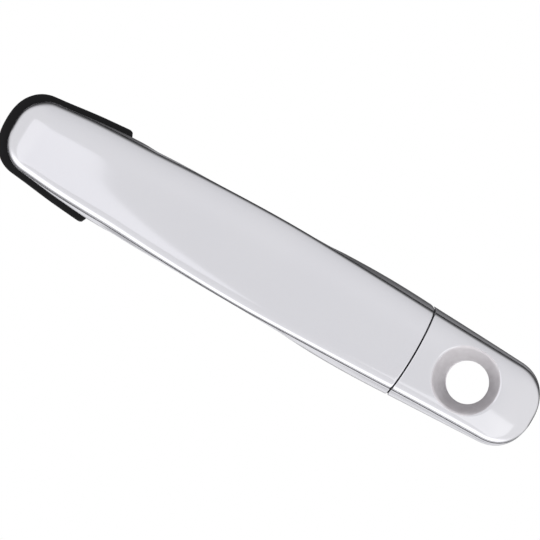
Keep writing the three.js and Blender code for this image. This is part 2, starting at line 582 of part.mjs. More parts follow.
const CRANK_X = [-30, -11.2];
const INPUT_X = [-15.2, -11.2];
const OUTPUT_X = [-30, -26];
const WEIGHT_R = 3.8;
const weightAt = new THREE.Vector2(8.8, 0)
  .rotateAround(new THREE.Vector2(), THREE.MathUtils.degToRad(-90 - CRANK_SWING))
  .add(CRANK_AXIS);
const cableEye = new THREE.Vector2(CRANK_AXIS.x + 20, CRANK_AXIS.y);
const SPRING_PEG = new THREE.Vector2(CRANK_AXIS.x + 11.5, CRANK_AXIS.y + 2.9);

function bellCrank() {
  const at = CRANK_AXIS.toArray();
  const hub = bar("x", at, CRANK_X, 5, 5, 24);
  const inputArm = extrude(link(CRANK_AXIS, 5, crankTip, 3.7), "x", ...INPUT_X, 8);
  const outputArm = extrude(link(CRANK_AXIS, 5, cableEye, 4), "x", ...OUTPUT_X, 8);
  const lobe = link(CRANK_AXIS, 5, weightAt, WEIGHT_R + 1.2);
  const lobes = [INPUT_X, OUTPUT_X].map((x) => extrude(lobe, "x", ...x, 8));
  const crossPin = bar("x", crankTip.toArray(), [LEG_X - LEG_THICK / 2 - 2, INPUT_X[1]], CROSS_PIN_R);
  const peg = bar("x", SPRING_PEG.toArray(), [OUTPUT_X[0] - 3, OUTPUT_X[0] + 1], 1.4, 1.4, 12);
  const pinHole = bar("x", at, [-50, 0], CRANK_PIN_R + FIT);
  const weightHole = bar("x", weightAt.toArray(), [-50, 0], WEIGHT_R + FIT);
  const eyeHole = bar("x", cableEye.toArray(), [-50, 0], 2.6, 2.6, 16);
  return without(union(hub, inputArm, outputArm, ...lobes, crossPin, peg), pinHole, weightHole, eyeHole);
}

function counterweight() {
  return bar("x", weightAt.toArray(), [CRANK_X[0] - 0.7, CRANK_X[1] + 0.7], WEIGHT_R, WEIGHT_R, 24);
}

// Slotted acetal bush in the output arm's eye, for the end of the latch cable.
function cableBush() {
  const at = cableEye.toArray();
  const sleeve = union(bar("x", at, [-31.4, -25.4], 2.3, 2.3, 16), bar("x", at, [-25.7, -24.5], 3.4, 3.4, 16));
  return sleeve.subtract(bar("x", at, [-35, -20], 1.2, 1.2, 12));
}

const SPRING = { x: [-38.6, -31.6], radius: 5.4, wire: 0.8, turns: 4 };
function returnSpring() {
  const { x, radius, wire, turns } = SPRING;
  const [y0, z0] = CRANK_AXIS.toArray();
  const steps = turns * 12;
  const points = [];
  for (let i = 0; i <= steps; i++) {
    const angle = -Math.PI / 2 - (2 * Math.PI * (turns + 0.5) * i) / steps;
    const along = THREE.MathUtils.lerp(...x, i / steps);
    points.push(new THREE.Vector3(along, y0 + radius * Math.cos(angle), z0 + radius * Math.sin(angle)));
  }
  points.unshift(new THREE.Vector3(x[0], y0 - 12.2, z0 - radius), new THREE.Vector3(x[0], y0 - 6, z0 - radius));
  points.push(new THREE.Vector3(x[1], y0 + 6, z0 + radius), new THREE.Vector3(x[1], y0 + 14, z0 + radius));
  const section = new THREE.Shape().absarc(0, 0, wire, 0, 2 * Math.PI);
  const extrudePath = new THREE.CatmullRomCurve3(points, false, "centripetal");
  const options = { steps: 76, curveSegments: 6, extrudePath, bevelEnabled: false };
  return solidOf(new THREE.ExtrudeGeometry(section, options));
}

// ---------------------------------------------------------------- assembly

const SPECK = 0.002; // slivers smaller than this are cleared from the finished solids
function meshOf(name, solid, material) {
  const { vertProperties, triVerts, numProp } = solid.simplify(SPECK).getMesh();
  const positions = new Float32Array(triVerts.length * 3);
  triVerts.forEach((v, i) => positions.set(vertProperties.subarray(v * numProp, v * numProp + 3), i * 3));
  const geometry = new THREE.BufferGeometry();
  geometry.setAttribute("position", new THREE.BufferAttribute(positions, 3));
  geometry.computeVertexNormals();
  const mesh = new THREE.Mesh(geometry, material);
  mesh.name = name;
  return mesh;
}

function group(name, pieces) {
  const made = new THREE.Group();
  made.name = name;
  made.add(...pieces.map(([node, solid, material]) => meshOf(node, solid, material)));
  return made;
}

const handle = new THREE.Group();
handle.add(
  group("fixed_body", [
    ["carrier", carrier(), blackNylon],
    ["front_gasket", frontGasket(), blackRubber],
    ["rear_gasket", rearGasket(), blackRubber],
    ["lock_cap_cover", capCover(), silver],
    ["lock_cap_base", capBase(), satinSilver],
    ["cap_screw", capScrew(), steel],
    ["hinge_pin", hingePin(), steel],
    ["crank_pin", crankPin(), steel],
    ["crank_pin_clip", pinClip(), springSteel],
    ["front_nut", hexNut(FRONT_NUT), zinc],
    ["rear_nut_upper", hexNut(REAR_NUTS[0]), zinc],
    ["rear_nut_lower", hexNut(REAR_NUTS[1]), zinc],
    ["return_spring", returnSpring(), springSteel],
  ]),
  group("grip_body", [
    ["grip_cover", gripCover(), silver],
    ["grip_base", gripBase(), satinSilver],
    ["hinge_hook", hingeHook(), blackNylon],
    ["hook_screw_1", flangeScrew(hookScrews[0]), steel],
    ["hook_screw_2", flangeScrew(hookScrews[1]), steel],
    ["pull_leg", pullLeg(), blackNylon],
    ["leg_screw_1", flangeScrew(legScrews[0]), steel],
    ["leg_screw_2", flangeScrew(legScrews[1]), steel],
    ["stop_buffer", stopBuffer(), blackRubber],
  ]),
  group("crank_body", [
    ["bell_crank", bellCrank(), blackNylon],
    ["counterweight", counterweight(), zinc],
    ["cable_bush", cableBush(), acetal],
  ]),
);

export default handle;
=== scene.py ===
"""Looks of a car's outside door handle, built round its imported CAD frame.

The shapes are worked out in millimetres and become metres in mesh_object(). +X is towards the rear of the
car, +Y into the door and +Z up. "Out" is the distance outwards from Y = 0, so Y = -out.
"""

import math

import bmesh
import bpy
from mathutils import Matrix, Vector


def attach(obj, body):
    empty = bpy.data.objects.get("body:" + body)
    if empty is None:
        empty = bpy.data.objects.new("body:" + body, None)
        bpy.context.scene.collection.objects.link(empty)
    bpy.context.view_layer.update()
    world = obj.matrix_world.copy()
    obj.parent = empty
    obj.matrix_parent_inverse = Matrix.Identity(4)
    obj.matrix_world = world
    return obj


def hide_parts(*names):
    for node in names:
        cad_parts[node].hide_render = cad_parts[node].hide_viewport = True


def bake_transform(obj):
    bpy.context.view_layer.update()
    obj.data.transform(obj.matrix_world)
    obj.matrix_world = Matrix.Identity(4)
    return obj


MM = 0.001

# ---------------------------------------------------------------- driving dimensions, as in the CAD

GRIP_LENGTH = 181.4
CAP_LENGTH = 54.6
SKIN = 0.8
GASKET = 2.0
SEAT = SKIN + GASKET + 0.5
PARTING_GAP = 0.5
SEAM_GAP = 0.35
WALL = 2.3
PAD_WALL = 4
FIT = 0.3

NOSE = -GRIP_LENGTH
NOSE_ROUND = 12
TAIL_ROUND = 15
CROWN_NOSE_ROUND = 14
CROWN_TAIL_ROUND = 20
FINGER_FRONT = (-138, -126)
FINGER_REAR = (-50, -34)
GRIP_THICK = 5.2

# Exponents of the sections' superellipses: 2 is an ellipse, and a higher one is boxier.
COVER_POWER = 2.8
BOXY_PAD = 8
BOXY_GRIP = 3

FLARED_BELOW = 0.4
FLARED_ABOVE = 0.7
BOW = 1.3
CORNER = 1.8
CORNER_FROM = 0.92

LOCK_X = 24.7
LOCK_R = 8.6
CONE_FLOOR = 13.6
CONE_SLOPE = 0.6
SLEEVE_WALL = 2
SLEEVE_LENGTH = 2.2
LOCK_CLEARANCE_R = 12

# The locating lip of a base: levels above and below the seam, widths, and its run along each piece.
LIP_TOP = 2
LIP_LEDGE = 0.7
LIP_ROOT = 3
LIP_CHAMFER = 0.9
LIP_BITE = 0.4
LIP_THICK = 1.2
GRIP_LIP = (NOSE + 10, -PARTING_GAP / 2 - 4)
CAP_LIP = (PARTING_GAP / 2 + 4, 41)

HOOK_SLOT = ((-170.9, -163.6), (-4.9, 4.9))
LEG_SLOT = ((-23.2, -17.6), (1.2, 15.2))
FLANGE_SCREWS = [(-150, -5.4), (-150, 5.4), (-30, -3.5), (-11, -3.5)]
FLANGE_SCREW_R = 1.8
CAP_TONGUE = (42.5, 47)
CAP_TONGUE_END = 17
CAP_TONGUE_HALF = 5.8
CAP_SCREW_Y = 12
CAP_SCREW_R = 2.3
FRONT_NUT = (-147.6, 0)
FRONT_NUT_R = 5.7

GASKET_TIP = -185.4
GASKET_REAR = -138.3
GASKET_CORNER = 2.4
GASKET_GROW = 2.5
GASKET_WINDOW = ((-174, -162.5), (-5.6, 5.6))

CRANK_AXIS = (17.5, -7)
SPRING_X = (-38.6, -31.6)
SPRING_RADIUS = 5.4
SPRING_WIRE = 0.8
SPRING_TURNS = 4.5
SPRING_CARRIER_LEG = 12.2
SPRING_CRANK_LEG = 14

# Softened edges and the groove along the seam, which the CAD leaves out.
SEAM_EDGE = 0.45
GROOVE_DEPTH = 0.7
LEDGE = 0.4
PARTING_EDGE = 0.55
RIM_BLEND = 1.6
GASKET_EDGE = 0.9

# How far a cutter or a cavity reaches past the face that it opens.
PAST = 1

# Fineness of the meshes: sides of a bore, and steps over and along the cap's countersunk face.
BORE_SIDES = 96
DISH_STEPS = 110
DISH_STEP = 0.22

# ---------------------------------------------------------------- outer form


def lerp(a, b, t):
    return a + (b - a) * t


def clamp(value, low=0.0, high=1.0):
    return max(low, min(high, value))


def smoothstep(value, low, high):
    t = clamp((value - low) / (high - low))
    return t * t * (3 - 2 * t)


def through(points):
    """A smooth curve through (x, value) points, level beyond its ends."""
    last = len(points) - 1
    slopes = []
    for i in range(last + 1):
        a, b = points[max(i - 1, 0)], points[min(i + 1, last)]
        slopes.append((b[1] - a[1]) / (b[0] - a[0]))

    def curve(x):
        if x <= points[0][0]:
            return points[0][1]
        if x >= points[last][0]:
            return points[last][1]
        i = next(k for k in range(last) if points[k + 1][0] > x)
        width = points[i + 1][0] - points[i][0]
        t = (x - points[i][0]) / width
        late = 3 * t**2 - 2 * t**3
        leaving = (t**3 - 2 * t**2 + t) * slopes[i]
        arriving = (t**3 - t**2) * slopes[i + 1]
        return lerp(points[i][1], points[i + 1][1], late) + width * (leaving + arriving)

    return curve


seam_half = through([
    (NOSE, 13.6), (-170, 14.7), (-155, 16.1), (-141, 16.75), (-128, 17.1), (-105, 18.2), (-80, 18.95),
    (-62, 19.05), (-40, 18.55), (-15, 17.8), (8, 17), (32, 16.5), (CAP_LENGTH, 16),
])
flare = through([
    (NOSE, 0.4), (-165, 0.6), (-150, 1.15), (-138, 1.65), (-120, 1.75), (-105, 1.2), (-85, 0.75),
    (-70, 0.65), (-58, 0.95), (-45, 1.55), (-28, 2.4), (-10, 2.7), (8, 2.45), (32, 1.85), (CAP_LENGTH, 1.2),
])
crown_line = through([
    (NOSE, 16.5), (-165, 21), (-140, 25), (-110, 27.2), (-70, 28), (-30, 27), (0, 25.4), (LOCK_X, 23),
    (37, 20.4), (CAP_LENGTH, 15.5),
])
seam_out = through([
    (NOSE, 6.5), (-165, 9.5), (-140, 13.5), (-110, 17), (-70, 18.5), (-30, 17.5), (0, 15.5), (25, 12.5),
    (CAP_LENGTH, 6.5),
])


def round_end(distance, length, power=2.3):
    """0 at the very end, 1 from length inwards."""
    t = clamp(distance / length)
    return (1 - (1 - t) ** power) ** (1 / power)


def end_factor(x):
    return round_end(x - NOSE, NOSE_ROUND) * round_end(CAP_LENGTH - x, TAIL_ROUND)


def crown_factor(x):
    return round_end(x - NOSE, CROWN_NOSE_ROUND, 2) * round_end(CAP_LENGTH - x, CROWN_TAIL_ROUND, 2)


def cover_half(x):
    return seam_half(x) * end_factor(x)


def crown_out(x):
    return lerp(seam_out(x), crown_line(x), crown_factor(x))


def pad(x):
    """1 over the pads that stand on the gaskets, 0 over the finger gap."""
    return 1 - smoothstep(x, *FINGER_FRONT) + smoothstep(x, *FINGER_REAR)


def underside(x):
    return lerp(seam_out(x) - GRIP_THICK, SEAT, pad(x))


def pad_floor(x):
    """Thickness of a base's floor, heavier over the pads."""
    return lerp(WALL, PAD_WALL, clamp(pad(x)))


def foot_half(x):
    return seam_half(x) + flare(x)


def parting_shift(x, z):
    """The gap between grip and cap bows rearwards, and turns forwards at the upper edge."""
    near = smoothstep(x, -30, -4) * (1 - smoothstep(x, 3, 12))
    q = clamp(z / foot_half(0), -1, 1)
    return near * (BOW * (0.5 - q * q) - CORNER * max(0, (q - CORNER_FROM) / (1 - CORNER_FROM)) ** 2)


def cone_out(radius):
    return CONE_FLOOR + (radius - LOCK_R) / CONE_SLOPE


def soft_min(a, b, width):
    overlap = max(width - abs(a - b), 0) / width
    return min(a, b) - overlap * overlap * width / 4


def dished(x, z, out):
    """The countersink round the lock bore, blended into the face at its rim."""
    reach = math.hypot(x + parting_shift(x, z) - LOCK_X, z)
    return soft_min(out, cone_out(reach), RIM_BLEND)


def section_ring(x, profile):
    """A closed ring at one station: (z, out) pairs over an arch, then back along its open side at the same z.

    So the end faces at the gap run straight out from the door, and the grip can be pulled past the cap.
    """
    foot = profile[0][1]
    edge = min(abs(profile[0][0]), abs(profile[-1][0]))
    back = [(clamp(z, -edge, edge), foot) for z, out in profile[-2:0:-1]]
    return [(x + parting_shift(x, z), -out, z) for z, out in profile + back]


def cover_section(x, steps, inset=0.0, cavity=False, dish=False):
    """One cross-section of an outer cover: a superellipse from the seam over the crown."""
    half = max(cover_half(x) - inset, 0.02)
    foot = seam_out(x) + (-PAST if cavity else SEAM_GAP / 2)
    rise = max(crown_out(x) - inset - foot, 0.02)
    edge = 0 if cavity else min(SEAM_EDGE, half / 3, rise / 3)
    profile = [(half - edge, foot)]
    profile += [
        (half - edge + edge * math.sin(a), foot + edge - edge * math.cos(a))
        for a in (math.radians(30), math.radians(60))
    ]
    for i in range(steps + 1):
        t = math.pi / 2 * i / steps
        z = half * math.cos(t) ** (2 / COVER_POWER)
        out = foot + edge + (rise - edge) * math.sin(t) ** (2 / COVER_POWER)
        profile.append((z, out))
    profile += [(-z, out) for z, out in reversed(profile[:-1])]
    if dish:
        lowest = foot + 0.1
        profile = [(z, max(min(out, dished(x, z, out)), min(out, lowest))) for z, out in profile]
    return section_ring(x, profile)


def base_side(x, steps, inset, floor, share):
    """Half a cross-section of a base, from the seam to the middle of its underside, as (height, out) pairs.

    The flare reaches its full width at that share of the depth.
    """
    boxy = lerp(BOXY_GRIP, BOXY_PAD, clamp(pad(x)))
    cavity = floor > 0
    top = seam_out(x) + (PAST if cavity else -SEAM_GAP / 2)
    bottom = underside(x) + floor + (0 if cavity else inset)
    side = []
    for i in range(steps + 1):
        across, down = math.cos(math.pi / 2 * i / steps), math.sin(math.pi / 2 * i / steps)
        reach = (across**boxy + down**boxy) ** (-1 / boxy)
        depth = down * reach
        wider = flare(x) * math.sin(math.pi / 2 * min(1, depth / share))
        if not cavity:
            wider = max(wider, LEDGE)
        half = max((seam_half(x) + wider) * end_factor(x) - inset, 0.3 if cavity else 0.02)
        side.append((half * across * reach, lerp(top, bottom, depth)))
    if not cavity:
        seam = max(cover_half(x) - inset, 0.01)
        size = min(1, seam / 5)
        inside, lip_top = (0.1, 1), (0.34, 0.2)
        side[0:1] = [(seam + size * z, top - size * GROOVE_DEPTH * deep) for z, deep in (inside, lip_top)]
    return side


def base_section(x, steps, inset=0.0, floor=0.0):
    """One cross-section of a base: boxy over the pads, with a groove along the seam."""
    below = base_side(x, steps, inset, floor, FLARED_BELOW)
    above = base_side(x, steps, inset, floor, FLARED_ABOVE)
    return section_ring(x, [(-z, out) for z, out in below] + above[-2::-1])


def lip_section(x, thickness):
    """One cross-section of the lip that stands up from a base inside its cover."""
    half = cover_half(x) - WALL - FIT - thickness
    past = PAST if thickness else 0
    rooted = half if thickness else half + FIT + LIP_BITE
    top, ledge, root = seam_out(x) + LIP_TOP + past, seam_out(x) - LIP_LEDGE, seam_out(x) - LIP_ROOT - past
    right = [(half - LIP_CHAMFER, top), (half, ledge), (rooted, ledge), (rooted, root)]
    return [(x, -out, z) for z, out in right + [(-z, out) for z, out in reversed(right)]]


def stations(start, stop, step, round_start=0, round_stop=0):
    """X stations about step apart, packed towards a rounded end of that length."""
    crowd, crowding = 34, 2.3
    xs = [start + round_start * (k / crowd) ** crowding for k in range(crowd)] if round_start else []
    low, high = start + round_start, stop - round_stop
    count = max(1, round((high - low) / step))
    xs += [lerp(low, high, k / count) for k in range(count + 1)]
    if round_stop:
        xs += [stop - round_stop * (k / crowd) ** crowding for k in reversed(range(crowd))]
    return xs


def rounded_stop(stop, inwards):
    """(x, inset) pairs that round off an end face's edge; inwards is the direction of the solid, 1 or -1."""
    angles = [math.radians(a) for a in (15, 30, 45, 60, 75, 90)]
    return [
        (stop + inwards * PARTING_EDGE * (1 - math.sin(a)), PARTING_EDGE * (1 - math.cos(a))) for a in angles
    ]


# ---------------------------------------------------------------- mesh tools


def mesh_object(name, vertices, faces):
    mesh = bpy.data.meshes.new(name)
    mesh.from_pydata([Vector(v) * MM for v in vertices], [], faces)
    obj = bpy.data.objects.new(name, mesh)
    bpy.context.scene.collection.objects.link(obj)
    return obj


def chord_ends(count):
    """Quads that close a ring made by section_ring(), from its arch to the chord behind it."""
    quads = []
    for i in range(count // 2):
        across = [(count - i) % count, count - i - 1]
        quads.append([i] + [v for v in across if v not in (i, i + 1)] + [i + 1])
    return quads


def loft(name, rings, ends=chord_ends):
    """A closed solid through rings of equal length; ends gives the faces that close one."""
    count = len(rings[0])
    vertices = [v for ring in rings for v in ring]
    faces = []
    for s in range(len(rings) - 1):
        for i in range(count):
            j = (i + 1) % count
            faces.append((s * count + i, s * count + j, (s + 1) * count + j, (s + 1) * count + i))
    top = len(vertices) - count
    for face in ends(count):
        faces.append(tuple(face))
        faces.append(tuple(top + v for v in reversed(face)))
    obj = mesh_object(name, vertices, faces)
    clean(obj, 1e-7)
    return obj


def flat_ends(count):
    return [list(range(count))]


def lathe(name, axis, at, profile, steps=32):
    """A solid turned about a line along axis, "x" or "y", through at.

    profile holds (radius, along) pairs, with along rising.
    """
    turned = {
        "x": lambda r, a, t: (t, at[0] + r * math.cos(a), at[1] + r * math.sin(a)),
        "y": lambda r, a, t: (at[0] + r * math.sin(a), t, at[1] + r * math.cos(a)),
    }[axis]
    vertices = [turned(r, 2 * math.pi * k / steps, t) for r, t in profile for k in range(steps)]
    faces = []
    for s in range(len(profile) - 1):
        for i in range(steps):
            j = (i + 1) % steps
            faces.append((s * steps + i, s * steps + j, (s + 1) * steps + j, (s + 1) * steps + i))
    faces.append(tuple(reversed(range(steps))))
    faces.append(tuple(range(len(vertices) - steps, len(vertices))))
    obj = mesh_object(name, vertices, faces)
    clean(obj, 1e-7)
    return obj


def clean(obj, distance):
    """Merges vertices that coincide and turns every face outwards."""
    made = bmesh.new()
    made.from_mesh(obj.data)
    bmesh.ops.remove_doubles(made, verts=made.verts, dist=distance)
    bmesh.ops.recalc_face_normals(made, faces=made.faces)
    made.to_mesh(obj.data)
    made.free()


def apply_modifiers(obj):
    """The object's mesh with its modifiers applied, and the modifiers gone."""
    graph = bpy.context.evaluated_depsgraph_get()
    mesh = bpy.data.meshes.new_from_object(obj.evaluated_get(graph))
    obj.modifiers.clear()
    obj.data = mesh


def combine(obj, operation, *others):
    """obj with the others added or taken away; the others are used up."""
    for other in others:
        modifier = obj.modifiers.new("combine", "BOOLEAN")
        modifier.operation = operation
        modifier.solver = "EXACT"
        modifier.object = other
        apply_modifiers(obj)
        bpy.data.objects.remove(other)
    return obj


def smooth(obj, angle=32):
    obj.data.shade_smooth()
    obj.data.set_sharp_from_angle(angle=math.radians(angle))


def box_object(name, x, y, z):
    vertices = [(a, b, c) for a in x for b in y for c in z]
    faces = [(0, 1, 3, 2), (4, 6, 7, 5), (0, 4, 5, 1), (2, 3, 7, 6), (0, 2, 6, 4), (1, 5, 7, 3)]
    return mesh_object(name, vertices, faces)


def softened(node, width, segments=2):
    """A copy of a CAD node with its edges rounded off."""
    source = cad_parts[node]
    obj = bpy.data.objects.new(node + "_fine", source.data.copy())
    bpy.context.scene.collection.objects.link(obj)
    clean(obj, 2e-5)
    made = bmesh.new()
    made.from_mesh(obj.data)
    bmesh.ops.dissolve_limit(made, angle_limit=math.radians(1.5), verts=made.verts, edges=made.edges)
    made.to_mesh(obj.data)
    made.free()
    bevel = obj.modifiers.new("bevel", "BEVEL")
    bevel.width = width * MM
    bevel.segments = segments
    bevel.limit_method = "ANGLE"
    bevel.angle_limit = math.radians(38)
    bevel.use_clamp_overlap = True
    apply_modifiers(obj)
    smooth(obj, 40)
    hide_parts(node)
    return obj


def finish_piece(obj, body, material):
    obj.data.materials.clear()
    obj.data.materials.append(material)
    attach(obj, body)


# ---------------------------------------------------------------- materials


def add_node(tree, kind, inputs=None, **settings):
    """A new node; each input is linked if it is given a socket, and set if it is given a value."""
    made = tree.nodes.new(kind)
    for key, value in settings.items():
        setattr(made, key, value)
    for key, value in (inputs or {}).items():
        if isinstance(value, bpy.types.NodeSocket):
            tree.links.new(value, made.inputs[key])
        else:
            made.inputs[key].default_value = value
    return made


class Nodes:
    """A short way to write a material's node tree."""

    def __init__(self, name, **shader):
        self.material = bpy.data.materials.new(name)
        self.material.use_nodes = True
        self.tree = self.material.node_tree
        self.shader = self.tree.nodes["Principled BSDF"]
        for key, value in shader.items():
            self.shader.inputs[key.replace("_", " ")].default_value = value
        self.place = self.tree.nodes.new("ShaderNodeTexCoord").outputs["Object"]

    def link(self, source, target):
        self.tree.links.new(source, target)

    def node(self, kind, inputs=None, **settings):
        return add_node(self.tree, kind, inputs, **settings)

    def noise(self, size, detail=3.0, roughness=0.5):
        """Noise with features about size millimetres across."""
        scale = 1 / (size * MM)
        inputs = {"Vector": self.place, "Scale": scale, "Detail": detail, "Roughness": roughness}
        return self.node("ShaderNodeTexNoise", inputs).outputs["Fac"]

    def between(self, value, low, high, to_low, to_high):
        inputs = {"Value": value, "From Min": low, "From Max": high, "To Min": to_low, "To Max": to_high}
        return self.node("ShaderNodeMapRange", inputs).outputs["Result"]

    def math(self, operation, a, b=0.0):
        return self.node("ShaderNodeMath", {0: a, 1: b}, operation=operation).outputs[0]

    def mix(self, share, a, b):
        inputs = {"Factor": share, "A": a, "B": b}
        return self.node("ShaderNodeMix", inputs, data_type="RGBA").outputs["Result"]

    def colour(self, source):
        self.link(source, self.shader.inputs["Base Color"])

    def roughness(self, source):
        self.link(source, self.shader.inputs["Roughness"])

    def bump(self, height, depth, strength=1.0):
        """Height from 0 to 1 stands for depth millimetres."""
        inputs = {"Height": height, "Distance": depth * MM, "Strength": strength}
        self.link(self.node("ShaderNodeBump", inputs).outputs["Normal"], self.shader.inputs["Normal"])


def rgba(r, g, b):
    return (r, g, b, 1.0)


def silver_paint(name, dark, light, roughness, coat):
    """Metallic paint: fine flake under a clear coat."""
    n = Nodes(name, Metallic=0.92, Roughness=roughness, Coat_Weight=coat, Coat_Roughness=0.03, Coat_IOR=1.5)
    flake = n.noise(0.22, 1.0)
    drift = n.noise(35, 2.0)
    tint = n.mix(drift, rgba(*dark), rgba(*light))
    sparkle = rgba(*[min(1, c * 1.12) for c in light])
    n.colour(n.mix(n.between(flake, 0.35, 0.65, 0.0, 0.10), tint, sparkle))
    n.roughness(n.between(flake, 0.3, 0.7, roughness * 0.85, roughness * 1.12))
    n.bump(n.noise(2.4, 2.0), 0.004, 0.5)
    return n.material


def countersink_paint():
    """Thin satin paint over the fine rings of the countersink's turned surface."""
    n = Nodes("countersink_paint", Metallic=0.35, Roughness=0.42, Coat_Weight=0.15, Coat_Roughness=0.2)
    axes = n.node("ShaderNodeSeparateXYZ", {"Vector": n.place})
    across = n.math("SUBTRACT", axes.outputs["X"], LOCK_X * MM)
    radius = n.math("SQRT", n.math("ADD", n.math("POWER", across, 2), n.math("POWER", axes.outputs["Z"], 2)))
    pitch = 0.62 * MM
    rings = n.math("SINE", n.math("MULTIPLY", radius, 2 * math.pi / pitch))
    shade = n.between(rings, -1, 1, 0, 1)
    n.colour(n.mix(n.between(n.noise(4), 0.3, 0.7, 0, 1), rgba(0.60, 0.575, 0.59), rgba(0.68, 0.66, 0.675)))
    n.roughness(n.between(shade, 0, 1, 0.38, 0.48))
    n.bump(shade, 0.03, 0.8)
    return n.material


def gasket_rubber():
    n = Nodes("gasket_rubber", Roughness=0.45, Specular_IOR_Level=0.18)
    dust = n.between(n.noise(9, 4.0), 0.45, 0.75, 0, 1)
    n.colour(n.mix(dust, rgba(0.004, 0.004, 0.0045), rgba(0.009, 0.009, 0.0095)))
    n.roughness(n.between(dust, 0, 1, 0.38, 0.55))
    n.bump(n.noise(0.5, 2.0), 0.02, 0.35)
    return n.material


def moulded(name, dark, light, grain=0.35, rough=(0.48, 0.66), depth=0.03):
    """Glass-filled nylon: fine grain, slight flow marks and dull patches."""
    n = Nodes(name, Roughness=rough[0])
    flow = n.noise(14, 3.0, 0.6)
    n.colour(n.mix(n.between(flow, 0.3, 0.7, 0, 1), rgba(*dark), rgba(*light)))
    n.roughness(n.between(n.noise(3, 3.0), 0.3, 0.7, *rough))
    n.bump(n.noise(grain, 3.0, 0.65), depth, 0.5)
    return n.material


def metal(name, colour, rough, stretch, wear=0.12):
    """Bare or plated steel with drawn or turned marks; stretch squeezes the marks along each axis."""
    n = Nodes(name, Metallic=1.0, Roughness=rough)
    along = n.node("ShaderNodeMapping", {"Vector": n.place, "Scale": stretch}).outputs["Vector"]
    inputs = {"Vector": along, "Scale": 1 / (0.4 * MM), "Detail": 3.0}
    marks = n.node("ShaderNodeTexNoise", inputs).outputs["Fac"]
    stain = n.between(n.noise(5, 3.0), 0.4, 0.75, 0, 1)
    n.colour(n.mix(stain, rgba(*colour), rgba(*[c * (1 - wear) for c in colour])))
    n.roughness(n.between(marks, 0.3, 0.7, rough * 0.8, rough * 1.3))
    n.bump(marks, 0.01, 0.3)
    return n.material


# ---------------------------------------------------------------- grip and lock cap


SHELL_STEP = 1.3
TIP = 0.0004
GRIP_END = -PARTING_GAP / 2
CAP_START = PARTING_GAP / 2
CAP_HOLLOW = (CAP_START + BOW / 2 + WALL, CAP_LENGTH - WALL)


def grip_stations():
    """(x, inset) pairs from the nose to the rounded edge at the gap."""
    xs = [x for x in stations(NOSE + TIP, GRIP_END, SHELL_STEP, NOSE_ROUND) if x < GRIP_END - PARTING_EDGE]
    return [(x, 0.0) for x in xs] + [(GRIP_END - PARTING_EDGE, 0.0)] + rounded_stop(GRIP_END, -1)


def cap_stations(step):
    """(x, inset) pairs from the rounded edge at the gap to the tail."""
    full = CAP_START + PARTING_EDGE
    xs = [x for x in stations(CAP_START, CAP_LENGTH - TIP, step, 0, TAIL_ROUND) if x > full]
    return rounded_stop(CAP_START, 1)[::-1] + [(full, 0.0)] + [(x, 0.0) for x in xs]


def lip(start, stop):
    """The locating lip of a base, open at both ends."""
    steps = 24
    outer = loft("lip", [lip_section(lerp(start, stop, k / steps), 0) for k in range(steps + 1)], flat_ends)
    low, high = start - PAST, stop + PAST
    inner = [lip_section(lerp(low, high, k / steps), LIP_THICK) for k in range(steps + 1)]
    return combine(outer, "DIFFERENCE", loft("inside_lip", inner, flat_ends))


def slot_cutter(slot):
    return box_object("slot", slot[0], (-SEAT - 8, 0), slot[1])


def screw_cutter(at):
    return lathe("screw_hole", "y", at, [(FLANGE_SCREW_R, -SEAT - 8), (FLANGE_SCREW_R, -SEAT - 1)], 24)


def make_grip_cover(paint):
    obj = loft("grip_cover_fine", [cover_section(x, 44, inset) for x, inset in grip_stations()])
    inner = stations(NOSE + WALL, GRIP_END - WALL, 4, NOSE_ROUND)
    combine(obj, "DIFFERENCE", loft("cavity", [cover_section(x, 14, WALL, cavity=True) for x in inner]))
    smooth(obj)
    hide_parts("grip_cover")
    finish_piece(obj, "grip_body", paint)


def make_grip_base(paint):
    obj = loft("grip_base_fine", [base_section(x, 40, inset) for x, inset in grip_stations()])
    inner = stations(NOSE + WALL, GRIP_END - WALL, 4, NOSE_ROUND)
    combine(obj, "DIFFERENCE", loft("cavity", [base_section(x, 16, WALL, pad_floor(x)) for x in inner]))
    combine(obj, "UNION", lip(*GRIP_LIP))
    cutters = [slot_cutter(slot) for slot in (HOOK_SLOT, LEG_SLOT)]
    cutters += [screw_cutter(at) for at in FLANGE_SCREWS]
    combine(obj, "DIFFERENCE", *cutters)
    smooth(obj)
    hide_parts("grip_base")
    finish_piece(obj, "grip_body", paint)


def in_countersink(point):
    """Whether a point in metres lies on the cone below the rounded rim."""
    x, y, z = point / MM
    reach = math.hypot(x - LOCK_X, z)
    rim = LOCK_R + CONE_SLOPE * (crown_out(x) - CONE_FLOOR)
    inside_rim, below_cone = 0.35, 1.2
    return reach < rim - inside_rim and -y > cone_out(reach) - below_cone


